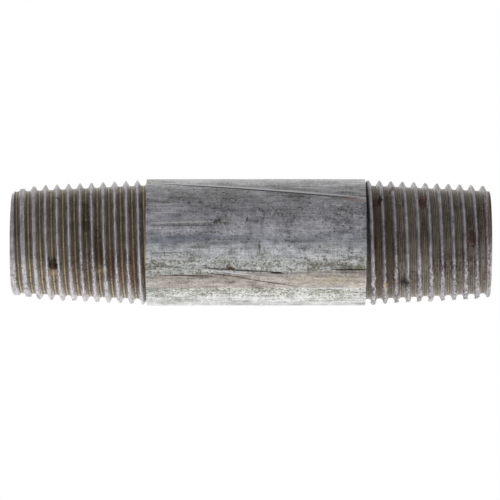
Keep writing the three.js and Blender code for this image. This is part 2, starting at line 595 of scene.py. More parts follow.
@dataclass(frozen=True)
class WeatheredZinc:
    """Drawn, dipped and handled zinc on the plain stretch, with streaks along the pipe, and painted light
    and shade in its tone round the pipe.
    """

    # The tones by turn are partly the zinc's own and partly painted light and shade: they are lightest low
    # on the front, about turns 136 to 165, where the pale floor lights the pipe.
    bands: tuple[Band, ...] = (
        Band(0, (0.60, 0.595, 0.595), 0.15),
        Band(20, (0.62, 0.615, 0.615), 0.20),
        Band(30, (0.54, 0.53, 0.535), 0.30),
        Band(42, (0.47, 0.46, 0.47), 0.35),
        Band(58, (0.48, 0.47, 0.50), 0.50),
        Band(72, (0.57, 0.565, 0.605), 0.45),
        Band(83, (0.61, 0.615, 0.675), 0.35),
        Band(87, (0.45, 0.46, 0.50), 0.35),
        Band(91, (0.47, 0.48, 0.505), 0.25),
        Band(95, (0.62, 0.63, 0.65), 0.25),
        Band(101, (0.68, 0.69, 0.705), 0.35),
        Band(106, (0.67, 0.685, 0.68), 0.75),
        Band(114, (0.62, 0.635, 0.61), 1.00),
        Band(122, (0.60, 0.60, 0.58), 0.60),
        Band(135.5, (0.60, 0.61, 0.57), 0.60),
        Band(136.5, (0.72, 0.73, 0.67), 1.00),
        Band(146, (0.78, 0.785, 0.74), 0.85),
        Band(150, (0.80, 0.805, 0.77), 0.30),
        Band(165, (0.72, 0.725, 0.70), 0.25),
        Band(215, (0.56, 0.56, 0.55), 0.50),
        Band(260, (0.48, 0.485, 0.50), 0.60),
        Band(310, (0.54, 0.54, 0.535), 0.35),
        Band(360, (0.60, 0.595, 0.595), 0.15),
    )
    scarf_rim: Colour = (0.36, 0.32, 0.30)
    scarf_floor: Colour = (0.58, 0.53, 0.48)
    olive: Colour = (0.15, 0.14, 0.08)
    dulled: Colour = (0.38, 0.37, 0.345)
    marks: tuple[Mark, ...] = (
        Mark(-6.2, 88.5, 2.6, 0.34, Tint.STEEL_BLUE, 0.45, ragged=2.0),
        Mark(-3.4, 84.8, 4.6, 0.13, Tint.STEEL_BLUE, 0.50, ragged=2.0),
        Mark(-5.8, 68.5, 2.6, 0.20, Tint.LILAC, 0.55, slant=-0.5, ragged=2.0),
        Mark(-1.0, 77.0, 3.4, 0.35, Tint.LILAC, 0.35, ragged=1.5, speckled=True),
        Mark(6.0, 109.0, 3.6, 0.36, Tint.OLIVE, 0.60, ragged=1.5, speckled=True),
        Mark(-2.6, 108.0, 1.6, 0.30, Tint.OLIVE, 0.45, ragged=1.5, speckled=True),
        Mark(5.8, 127.0, 3.4, 0.50, Tint.TAN, 0.65, ragged=1.5, speckled=True),
        Mark(6.2, 130.5, 2.6, 0.12, Tint.OLIVE, 0.50, slant=2.0, speckled=True),
        Mark(6.9, 122.5, 2.2, 0.14, Tint.OLIVE, 0.60, ragged=1.5, speckled=True),
        Mark(0.0, 47.0, 1.1, 0.55, Tint.GRIME_AND_SHADE, 0.30, ragged=1.5, speckled=True),
        Mark(1.2, 62.0, 1.5, 0.75, Tint.GRIME_AND_SHADE, 0.30, ragged=1.5, speckled=True),
        Mark(7.6, 74.0, 0.9, 1.00, Tint.GRIME_AND_SHADE, 0.32, ragged=1.5, speckled=True),
        Mark(-3.4, 60.0, 1.6, 0.60, Tint.GRIME_AND_SHADE, 0.25, ragged=1.5, speckled=True),
        # A scratch drawn with a painted highlight along its upper side and a painted shadow along its lower
        # side.
        Mark(0.55, 33.0, 9.3, 0.125, Tint.PALE_AND_HIGHLIGHT, 0.95, slant=7.5, ragged=0.8, relief=0.7),
        Mark(0.55, 35.3, 9.3, 0.085, Tint.GRIME_AND_SHADE, 0.95, slant=7.5, ragged=0.6, relief=-1.2),
        Mark(5.8, 33.0, 3.6, 0.10, Tint.PALE_AND_HIGHLIGHT, 0.45, slant=7.0, ragged=1.0),
        Mark(8.4, 48.6, 1.1, 0.17, Tint.PINK, 0.7, slant=7.0),
        Mark(-7.0, 53.4, 1.4, 0.045, Tint.PALE_AND_HIGHLIGHT, 0.9, slant=-1, ragged=0.8, relief=0.3),
        Mark(-6.9, 57.5, 1.5, 0.040, Tint.PALE_AND_HIGHLIGHT, 0.8, slant=1, ragged=0.8, relief=0.3),
        Mark(-7.0, 62.5, 1.3, 0.045, Tint.PALE_AND_HIGHLIGHT, 0.9, slant=-1.5, ragged=0.8, relief=0.3),
        Mark(-5.6, 71.8, 2.8, 0.075, Tint.PALE_AND_HIGHLIGHT, 0.75, slant=-1.6, ragged=1.6, relief=0.3),
        Mark(-7.4, 77.5, 0.9, 0.040, Tint.PALE_AND_HIGHLIGHT, 0.8, slant=2.0, ragged=0.8, relief=0.3),
        Mark(-5.2, 74.8, 3.0, 0.045, Tint.GRIME_AND_SHADE, 0.60, slant=-0.9, ragged=1.6, relief=-0.4),
        Mark(-2.75, 70.4, 0.30, 0.24, Tint.BLACK, 0.75, slant=-20, ragged=2.0),
        Mark(-2.2, 72.6, 0.40, 0.10, Tint.OLIVE, 0.70, ragged=2.0),
        Mark(-3.83, 29.3, 0.16, 0.12, Tint.GRIME_AND_SHADE, 0.7),
        Mark(-5.02, 51.7, 0.13, 0.16, Tint.GRIME_AND_SHADE, 0.8),
        Mark(-0.32, 69.4, 0.12, 0.22, Tint.GRIME_AND_SHADE, 0.8, slant=-40),
        Mark(0.75, 59.5, 0.45, 0.35, Tint.BLACK, 0.55, slant=35, speckled=True),
        Mark(0.95, 70.0, 0.22, 0.60, Tint.GRIME_AND_SHADE, 0.65, slant=-68, speckled=True),
        Mark(1.9, 64.0, 0.42, 0.30, Tint.GRIME_AND_SHADE, 0.55, slant=-62, speckled=True),
        Mark(0.70, 93.5, 0.10, 0.40, Tint.GRIME_AND_SHADE, 0.7, slant=40),
        Mark(0.89, 100.6, 0.55, 0.60, Tint.OLIVE, 0.55, ragged=1.5, speckled=True),
        Mark(8.0, 97.5, 0.30, 0.75, Tint.BROWN, 0.75, ragged=1.5, speckled=True),
        Mark(8.3, 104.0, 0.80, 0.25, Tint.GRIME_AND_SHADE, 0.60, ragged=1.5, speckled=True),
        Mark(-0.85, 116.0, 3.5, 0.080, Tint.BLACK, 0.80, slant=3.9, ragged=1.0, relief=-1.0),
        Mark(2.1, 118.6, 0.60, 0.10, Tint.BLACK, 0.95, slant=3.0, relief=-1.0),
        Mark(7.9, 115.4, 1.5, 0.080, Tint.BLACK, 0.95, ragged=1.0, relief=-0.8),
        Mark(-1.78, 113.4, 0.30, 0.22, Tint.RUST, 0.75, ragged=2.8),
        Mark(-1.55, 114.6, 0.30, 0.14, Tint.BROWN, 0.85, ragged=2.0),
        Mark(7.7, 112.8, 0.65, 0.20, Tint.BROWN, 0.55, ragged=2.5),
        Mark(8.7, 113.5, 0.60, 0.12, Tint.OLIVE, 0.7, ragged=2.5),
        Mark(-6.6, 113.0, 1.5, 0.045, Tint.GRIME_AND_SHADE, 0.7, slant=4.0, relief=-0.3),
        Mark(-6.8, 99.5, 1.6, 0.050, Tint.BROWN, 0.6, slant=-1.0, relief=-0.3),
        Mark(-6.4, 104.5, 1.5, 0.10, Tint.PALE_AND_HIGHLIGHT, 0.7, slant=2.0),
        Mark(-5.4, 121.6, 2.9, 0.050, Tint.BROWN, 0.85, slant=1.5, ragged=0.8, relief=-0.5),
        Mark(-1.5, 118.8, 2.0, 0.060, Tint.PALE_AND_HIGHLIGHT, 0.8, slant=8.0, ragged=0.8, relief=0.4),
        Mark(1.42, 129.0, 2.5, 0.045, Tint.BROWN, 0.9, slant=10.7, ragged=0.8, relief=-0.4),
        Mark(-1.7, 122.0, 1.8, 0.050, Tint.BROWN, 0.85, slant=8.5, ragged=0.8, relief=-0.4),
        Mark(7.4, 136.1, 2.0, 0.060, Tint.PALE_AND_HIGHLIGHT, 1.0, ragged=0.6, relief=0.4),
        Mark(6.6, 141.5, 2.6, 0.20, Tint.OLIVE, 0.45, ragged=1.5, speckled=True),
        Mark(9.1, 59.4, 0.22, 0.50, Tint.STEEL_BLUE, 0.5),
        Mark(8.9, 75.0, 0.20, 1.30, Tint.PALE_AND_HIGHLIGHT, 0.35, ragged=1.5, speckled=True),
        Mark(-8.3, 18.5, 0.30, 0.20, Tint.TAN, 0.7),
        Mark(3.0, 232.0, 5.0, 0.06, Tint.GRIME_AND_SHADE, 0.8, slant=-4.0, ragged=0.8, relief=-0.8),
        Mark(-4.0, 262.0, 3.0, 0.05, Tint.PALE_AND_HIGHLIGHT, 0.8, slant=2.0, ragged=0.8, relief=0.3),
        Mark(-6.0, 215.0, 0.7, 0.50, Tint.BROWN, 0.6, ragged=1.5, speckled=True),
        Mark(5.0, 300.0, 1.4, 0.60, Tint.GRIME_AND_SHADE, 0.4, ragged=1.5, speckled=True),
        Mark(-2.0, 325.0, 3.5, 0.05, Tint.GRIME_AND_SHADE, 0.7, slant=-3.0, ragged=0.8, relief=-0.5),
    )

    def past_scarf(self, graph: MetalGraph, streaks: Socket) -> Socket:
        """Measures how far a place lies past the slanting edge of the scraped strip.

        Args:
            graph: The finish's nodes.
            streaks: Noise that frays the edge.

        Returns:
            Degrees round the pipe, positive on the strip.
        """
        lean = graph.calc("MULTIPLY_ADD", graph.x, 0.33, graph.turn)
        past = graph.calc("SUBTRACT", lean, 119.0)
        return graph.calc("MULTIPLY_ADD", graph.calc("SUBTRACT", streaks, 0.5), 4.0, past)

    def tone_and_painted_light(
        self, graph: MetalGraph, mottle: Socket, clouds: Socket
    ) -> tuple[Socket, Socket]:
        """Colours the zinc by its turn, partly its own tone and partly painted light and shade, lightest
        low on the front where the pale floor lights it, with lilac and dull clouds over it.

        Args:
            graph: The finish's nodes.
            mottle: Noise that frays the bands.
            clouds: Broad noise.

        Returns:
            The colour, and how spotted the zinc is from 0 to 1.
        """
        drift = graph.calc("MULTIPLY", graph.calc("SUBTRACT", mottle, 0.5), 6)
        turn = graph.calc("WRAP", graph.calc("ADD", graph.turn, drift), 360, 0)
        share = graph.calc("DIVIDE", turn, 360)
        colour = graph.ramp(share, [(band.turn / 360, band.colour) for band in self.bands])
        spotted = graph.ramp(share, [(band.turn / 360, (band.spots,) * 3) for band in self.bands])
        colour = graph.blend(graph.span(clouds, 0.5, 0.68, 0.0, 0.35), colour, Tint.LILAC.value)
        colour = graph.blend(graph.span(clouds, 0.48, 0.34, 0.0, 0.30), colour, self.dulled)
        return colour, spotted

    def scraped(
        self, graph: MetalGraph, colour: Socket, streaks: Socket
    ) -> tuple[Socket, Socket]:
        """Lays the browned, scraped strip beside the weld over the zinc, darkest at its edge.

        Args:
            graph: The finish's nodes.
            colour: The zinc's colour.
            streaks: Noise that frays the strip's edge.

        Returns:
            The colour, and a mask that is 1 on the strip.
        """
        past = self.past_scarf(graph, streaks)
        strip = graph.calc("MULTIPLY", graph.span(past, -0.5, 0.7), graph.span(graph.turn, 136.3, 135.4))
        tone = graph.blend(graph.span(past, 0.0, 8.0), self.scarf_rim, self.scarf_floor)
        return graph.blend(graph.calc("MULTIPLY", strip, 0.92), colour, tone), strip

    def dots(
        self, graph: MetalGraph, speckle: Socket, swells: tuple[tuple[Socket, float], ...], strip: Socket
    ) -> Socket:
        """Scatters small dark spots, fewer of them on the scraped strip.

        Args:
            graph: The finish's nodes.
            speckle: Fine noise that the spots come from.
            swells: Values that make spots likelier or rarer, with how strongly they count.
            strip: 1 on the scraped strip.

        Returns:
            A mask that is 1 on a spot.
        """
        odds = speckle
        for value, amount in swells:
            odds = graph.calc("MULTIPLY_ADD", value, amount, odds)
        return graph.calc("MULTIPLY", graph.span(odds, 0.735, 0.80), graph.span(strip, 1.0, 0.0, 0.35, 1.0))

    def build(self) -> bpy.types.Material:
        """Builds the material.

        Returns:
            The material.
        """
        graph = MetalGraph("weathered_zinc")
        streaks = graph.noise((0.40, 4.6, 4.6), 7, 0.72)
        mottle = graph.noise((1.3, 1.7, 1.7), 7, 0.70)
        clouds = graph.noise((0.35, 0.75, 0.75), 4, 0.6)
        hairs = graph.noise((6.0, 1.1, 1.1), 4, 0.6)
        speckle = graph.noise((4.2, 5.5, 5.5), 4, 0.6)
        fine = graph.noise((9.0, 11.0, 11.0), 2, 0.6)
        wobble = graph.noise((5.0, 7.0, 7.0), 4, 0.7)
        colour, spotted = self.tone_and_painted_light(graph, mottle, clouds)
        colour, strip = self.scraped(graph, colour, streaks)
        layers = ((streaks, 2.0), (mottle, 2.2), (clouds, 0.9), (hairs, 0.55), (fine, 1.3))
        light = graph.contrast(layers)
        colour = graph.shaded(colour, light)
        dots = self.dots(graph, speckle, ((mottle, 0.45), (clouds, -0.25), (spotted, 0.13)), strip)
        stain = graph.blend(graph.span(graph.turn, 95, 104), Tint.GRIME_AND_SHADE.value, self.olive)
        colour = graph.blend(graph.calc("MULTIPLY", dots, 0.72), colour, stain)
        height = graph.calc("MULTIPLY_ADD", mottle, 0.6, graph.calc("MULTIPLY", streaks, 0.8))
        height = graph.calc("SUBTRACT", height, graph.calc("MULTIPLY", dots, 0.3))
        colour, height = graph.marked(colour, height, self.marks, wobble)
        roughness = graph.span(mottle, 0.3, 0.7, 0.32, 0.52)
        return graph.finish(colour, roughness, height, 0.025 * MM, 0.85)


@dataclass(frozen=True)
class CutThread:
    """Thread cut through the zinc into the steel, oily and browned in its grooves.

    It reads three numbers at each vertex: "groove", the distance from the crest in
    pitches; the edge mask, 1 along the crest edge where a highlight is painted; and "damage".
    """

    name: str
    marks: tuple[Mark, ...]
    crest: Colour
    flank: Colour
    floor: Colour
    # Strength of the painted highlight along the crest edge.
    lit_edge: float
    # Painted shade in the corners where the flanks meet the floor.
    corner: Colour = (0.14, 0.115, 0.09)
    browned: Colour = (0.20, 0.14, 0.10)
    # Colour of the painted highlights and glints on the crests.
    painted_highlight_tone: Colour = (0.93, 0.92, 0.94)
    # How light a flank stays at its foot, where shade is painted.
    foot_shade: float = 0.85

    @classmethod
    def long_end(cls) -> "CutThread":
        """Gives the cleaner thread of the long end.

        Returns:
            The finish.
        """
        marks = (
            Mark(-13.2, 112.0, 2.6, 2.60, Tint.BROWN, 0.60, speckled=True),
            Mark(-10.2, 118.0, 1.6, 2.40, Tint.RUST, 0.45, speckled=True),
            Mark(-12.0, 100.0, 3.2, 6.00, Tint.BROWN, 0.25, ragged=2.5, in_groove=True),
            Mark(-19.15, 75.0, 0.35, 5.00, Tint.GRIME_AND_SHADE, 0.40, ragged=1.5, in_groove=True),
            Mark(-19.3, 120.0, 0.5, 3.20, Tint.OLIVE, 0.50, speckled=True),
            Mark(-15.67, 40.4, 0.18, 0.16, Tint.BLACK, 0.85),
            Mark(-13.42, 62.0, 0.36, 1.60, Tint.BROWN, 0.60, ragged=2.8, in_groove=True),
            Mark(-13.5, 72.0, 0.50, 0.50, Tint.BROWN, 0.80, speckled=True),
            Mark(-16.01, 113.5, 0.34, 0.62, Tint.BLACK, 0.85, ragged=2.0),
            Mark(-16.0, 117.0, 0.34, 0.42, Tint.BROWN, 0.90, ragged=2.5),
            Mark(-15.96, 125.0, 0.40, 0.34, Tint.TAN, 0.50, ragged=2.5),
            Mark(-12.36, 99.0, 0.40, 1.80, Tint.BROWN, 0.65, ragged=2.8, in_groove=True),
            Mark(-12.10, 120.5, 0.34, 0.40, Tint.TAN, 0.50, ragged=2.8),
            Mark(-11.33, 117.0, 0.30, 1.50, Tint.BROWN, 0.60, ragged=2.8, in_groove=True),
            Mark(-9.40, 124.0, 0.26, 2.20, Tint.RUST, 0.55, ragged=2.8, in_groove=True),
            Mark(-15.0, 250.0, 2.5, 2.00, Tint.BROWN, 0.50, speckled=True),
            Mark(-12.0, 300.0, 0.6, 3.00, Tint.RUST, 0.80, in_groove=True),
        )
        return cls(
            name="cut_thread_long",
            marks=marks,
            crest=(0.56, 0.535, 0.57),
            flank=(0.57, 0.53, 0.53),
            floor=(0.48, 0.40, 0.22),
            lit_edge=0.95,
        )

    @classmethod
    def short_end(cls) -> "CutThread":
        """Gives the battered, rustier thread of the short end.

        Returns:
            The finish.
        """
        marks = (
            Mark(10.6, 95.0, 1.2, 9.00, Tint.BROWN, 0.58, ragged=2.0, in_groove=True),
            Mark(11.2, 95.0, 1.6, 4.00, Tint.BROWN, 0.50, speckled=True),
            # Painted shade in the recess beside the shoulder.
            Mark(9.43, 90.0, 0.14, 8.00, Tint.GRIME_AND_SHADE, 0.65, ragged=1.4),
            Mark(19.0, 104.0, 0.55, 2.40, Tint.PALE_AND_HIGHLIGHT, 0.60, speckled=True),
            Mark(12.2, 132.0, 2.2, 1.20, Tint.BROWN, 0.55, speckled=True),
            Mark(16.6, 112.0, 2.2, 1.90, Tint.BROWN, 0.80, speckled=True),
            Mark(18.7, 85.0, 0.6, 7.00, Tint.BROWN, 0.65, speckled=True),
            Mark(10.30, 45.7, 0.40, 0.60, Tint.BROWN, 0.95, ragged=2.0),
            Mark(11.40, 29.3, 0.30, 0.36, Tint.RUST, 0.7, ragged=2.5),
            Mark(13.96, 42.0, 0.34, 0.85, Tint.RUST, 0.85, ragged=2.5),
            Mark(14.22, 72.1, 0.40, 1.30, Tint.BROWN, 0.60, ragged=2.8, in_groove=True),
            Mark(17.93, 70.0, 0.36, 1.50, Tint.BROWN, 0.60, ragged=2.8, in_groove=True),
            Mark(17.93, 85.2, 0.30, 0.75, Tint.RUST, 0.75, ragged=2.5),
            Mark(12.49, 134.8, 0.34, 0.55, Tint.BLACK, 0.85, ragged=2.8),
            Mark(11.81, 153.4, 0.16, 0.30, Tint.BLACK, 0.9),
            Mark(10.96, 136.1, 0.24, 0.45, Tint.TAN, 0.8, ragged=2.5),
            Mark(19.35, 60.0, 0.16, 6.00, Tint.RUST, 0.75, ragged=1.5),
            Mark(14.5, 220.0, 1.5, 2.50, Tint.RUST, 0.50, speckled=True),
        )
        return cls(
            name="cut_thread_short",
            marks=marks,
            crest=(0.42, 0.395, 0.405),
            flank=(0.46, 0.43, 0.42),
            floor=(0.60, 0.49, 0.26),
            lit_edge=0.80,
        )

    def groove_tone(self, graph: MetalGraph, groove: Socket, patches: Socket) -> Socket:
        """Colours the thread from its crest down to the oily line on its floor, with painted shade at the
        foot of each flank and in its corners.

        Args:
            graph: The finish's nodes.
            groove: Distance from the crest in pitches.
            patches: Noise that makes the bands unsteady.

        Returns:
            The colour.
        """
        # The flank's foot and the corners are darkened as painted shade.
        foot = tuple(self.foot_shade * part for part in self.flank)
        stops = (
            (0.00, self.crest),
            (0.010, self.crest),
            (0.045, self.flank),
            (0.29, foot),
            (0.345, self.corner),
            (0.43, self.corner),
            (0.465, self.floor),
            (0.50, self.floor),
        )
        shaky = graph.calc("MULTIPLY_ADD", graph.calc("SUBTRACT", patches, 0.5), 0.03, groove)
        return graph.ramp(graph.calc("MULTIPLY", shaky, 2), [(at * 2, tone) for at, tone in stops])

    def painted_crest_highlights(
        self, graph: MetalGraph, colour: Socket, groove: Socket, damage: Socket, patches: Socket
    ) -> Socket:
        """Paints a highlight along one edge of each crest, weaker where the crest faces the camera, and
        paints glints on the crests, more of them where the crests are damaged.

        Args:
            graph: The finish's nodes.
            colour: The colour under the light.
            groove: Distance from the crest in pitches.
            damage: How torn the crests are.
            patches: Noise that breaks the edge up.

        Returns:
            The colour.
        """
        # Painted highlight along the crest edge, weaker on the front, which faces the camera.
        off_front = graph.calc("ABSOLUTE", graph.calc("SUBTRACT", graph.turn, 92))
        highlight_share = graph.span(off_front, 3, 16, 0.3, 1.0)
        highlight_share = graph.calc("MULTIPLY", highlight_share, graph.span(patches, 0.36, 0.52))
        edge = graph.calc("MULTIPLY", graph.attribute("lit_edge"), highlight_share)
        colour = graph.blend(graph.calc("MULTIPLY", edge, self.lit_edge), colour, self.painted_highlight_tone)
        # Painted glints on the crests, more of them where the crests are damaged.
        torn = graph.calc("MULTIPLY_ADD", damage, 0.06, patches)
        painted_glint = graph.span(torn, 0.64, 0.74, 0.0, 0.65)
        painted_glint = graph.calc("MULTIPLY", painted_glint, graph.span(groove, 0.06, 0.01))
        return graph.blend(painted_glint, colour, self.painted_highlight_tone)

    def build(self) -> bpy.types.Material:
        """Builds the material.

        Returns:
            The material.
        """
        graph = MetalGraph(self.name)
        grime = graph.noise((0.9, 1.1, 1.1), 7, 0.7)
        rings = graph.noise((11.0, 0.8, 0.8), 3, 0.65)
        patches = graph.noise((2.2, 2.6, 2.6), 5, 0.7)
        fine = graph.noise((4.6, 5.2, 5.2), 4, 0.65)
        wobble = graph.noise((4.0, 4.5, 4.5), 5, 0.7)
        groove = graph.attribute("groove")
        damage = graph.attribute("damage")
        # Painted light from the pale floor: the thread is made brighter past turns 98 to 122, over the
        # lower front, the underside and the back.
        painted_underlight = graph.calc("ADD", graph.span(graph.turn, 98, 122, 0.0, 0.22), 0.5)
        layers = ((grime, 1.3), (rings, 2.0), (patches, 0.8), (fine, 1.1), (painted_underlight, 1.0))
        light = graph.contrast(layers)
        colour = graph.shaded(self.groove_tone(graph, groove, patches), light)
        deep = graph.span(groove, 0.14, 0.32, 0.06, 1.0)
        rusty = graph.calc("MULTIPLY", graph.span(grime, 0.50, 0.66), deep)
        colour = graph.blend(graph.calc("MULTIPLY", rusty, 0.35), colour, self.browned)
        pits = graph.span(graph.calc("MULTIPLY_ADD", damage, 0.085, fine), 0.655, 0.72)
        colour = graph.blend(graph.calc("MULTIPLY", pits, 0.75), colour, Tint.BROWN.value)
        colour = self.painted_crest_highlights(graph, colour, groove, damage, patches)
        height = graph.calc("MULTIPLY_ADD", patches, 0.45, graph.calc("MULTIPLY", rings, 0.5))
        height = graph.calc("SUBTRACT", height, graph.calc("MULTIPLY", pits, 0.6))
        colour, height = graph.marked(colour, height, self.marks, wobble, deep)
        roughness = graph.span(grime, 0.35, 0.65, 0.26, 0.46)
        return graph.finish(colour, roughness, height, 0.026 * MM, 0.85)


@dataclass(frozen=True)
class SawnFace:
    """End faces of bare steel, ringed by the tool that squared them."""

    steel: Colour = (0.40, 0.385, 0.38)

    def build(self) -> bpy.types.Material:
        """Builds the material.

        Returns:
            The material.
        """
        graph = MetalGraph("sawn_face")
        blotches = graph.noise((1.0, 1.4, 1.4), 6, 0.65)
        rings = graph.noise((1.0, 9.0, 9.0), 2, 0.5)
        colour = graph.blend(graph.span(blotches, 0.52, 0.66), self.steel, Tint.BROWN.value)
        colour = graph.shaded(colour, graph.contrast(((rings, 0.8), (blotches, 0.8))))
        roughness = graph.span(blotches, 0.3, 0.7, 0.3, 0.6)
        return graph.finish(colour, roughness, rings, 0.02 * MM, 0.85)


@dataclass(frozen=True)
class BoreZinc:
    """Dull zinc inside the bore, stained by handling."""

    zinc: Colour = (0.40, 0.40, 0.40)

    def build(self) -> bpy.types.Material:
        """Builds the material.

        Returns:
            The material.
        """
        graph = MetalGraph("bore_zinc")
        streaks = graph.noise((0.5, 3.0, 3.0), 5, 0.65)
        blotches = graph.noise((1.1, 1.1, 1.1), 6, 0.7)
        colour = graph.blend(graph.span(blotches, 0.54, 0.7, 0, 0.8), self.zinc, Tint.BROWN.value)
        colour = graph.shaded(colour, graph.contrast(((streaks, 1.0), (blotches, 0.6))))
        roughness = graph.span(blotches, 0.3, 0.7, 0.42, 0.65)
        return graph.finish(colour, roughness, graph.calc("ADD", streaks, blotches), 0.03 * MM, 0.8)


# ---------------------------------------------------------------- the pipe's parts


@dataclass(frozen=True)
class ThreadForm:
    """Shape of the taper pipe thread, the same at both ends."""

    pitch: float = 25.4 / 27 * MM
    floor_flat: float = 0.33 * MM
    crest_flat: float = 0.09 * MM
    flank_slope: float = math.tan(math.radians(30))
    taper: float = 0.0975 / 2
    floor_round: float = 0.075 * MM
    crest_round: float = 0.045 * MM

    @property
    def flank_run(self) -> float:
        """How far a flank goes along the pipe."""
        return (self.pitch - self.floor_flat - self.crest_flat) / 2

    @property
    def depth(self) -> float:
        """Height of the crests over the floor."""
        return self.flank_run / self.flank_slope

    def corner(self, at: Point, before: Point, after: Point, size: float) -> Points:
        """Rounds a corner of the profile.

        Args:
            at: The sharp corner.
            before: A point on the line that comes in.
            after: A point on the line that goes out.
            size: How far from the corner the rounding starts and ends.

        Returns:
            Three points on the rounding.
        """
        here, start, end = Vector(at), Vector(before), Vector(after)
        first = here + (start - here).normalized() * size
        last = here + (end - here).normalized() * size
        middle = (first + 2 * here + last) / 4
        return [tuple(first), tuple(middle), tuple(last)]

    def half_ridge(self) -> Points:
        """Outline from the middle of the floor up to the middle of the crest.

        Returns:
            Points as (place along the pipe from the crest, height over the floor).
        """
        foot = (-self.crest_flat / 2 - self.flank_run, 0.0)
        top = (-self.crest_flat / 2, self.depth)
        floor = (-self.pitch / 2, 0.0)
        crest = (0.0, self.depth)
        halfway = ((foot[0] + top[0]) / 2, self.depth / 2)
        return [
            floor,
            *self.corner(foot, floor, top, self.floor_round),
            halfway,
            *self.corner(top, foot, crest, self.crest_round),
            crest,
        ]

    def ridge(self) -> Points:
        """Outline of one whole pitch, from floor to floor.

        Returns:
            Points as (place along the pipe from the crest, height over the floor).
        """
        rising = self.half_ridge()
        falling = [(-along, height) for along, height in reversed(rising[:-1])]
        return rising + falling


@dataclass(frozen=True)
class Pipe:
    """Sizes that the parts of the nipple share."""

    low: float = NIPPLE_LOW[0]
    high: float = NIPPLE_HIGH[0]
    radius: float = SKIN_RADIUS
    wall: float = 1.73 * MM
    zinc: float = 0.055 * MM
    skim: float = 0.025 * MM
    ream: float = 0.15 * MM
    seam_turn: float = math.radians(116)

    @property
    def steel_radius(self) -> float:
        """Outside radius of the bare steel."""
        return self.radius - self.zinc

    @property
    def bore_radius(self) -> float:
        """Radius of the open bore."""
        return self.steel_radius - self.wall - self.zinc

    @property
    def crest_radius(self) -> float:
        """Radius of a thread's crests at its shoulder."""
        return self.steel_radius - self.skim


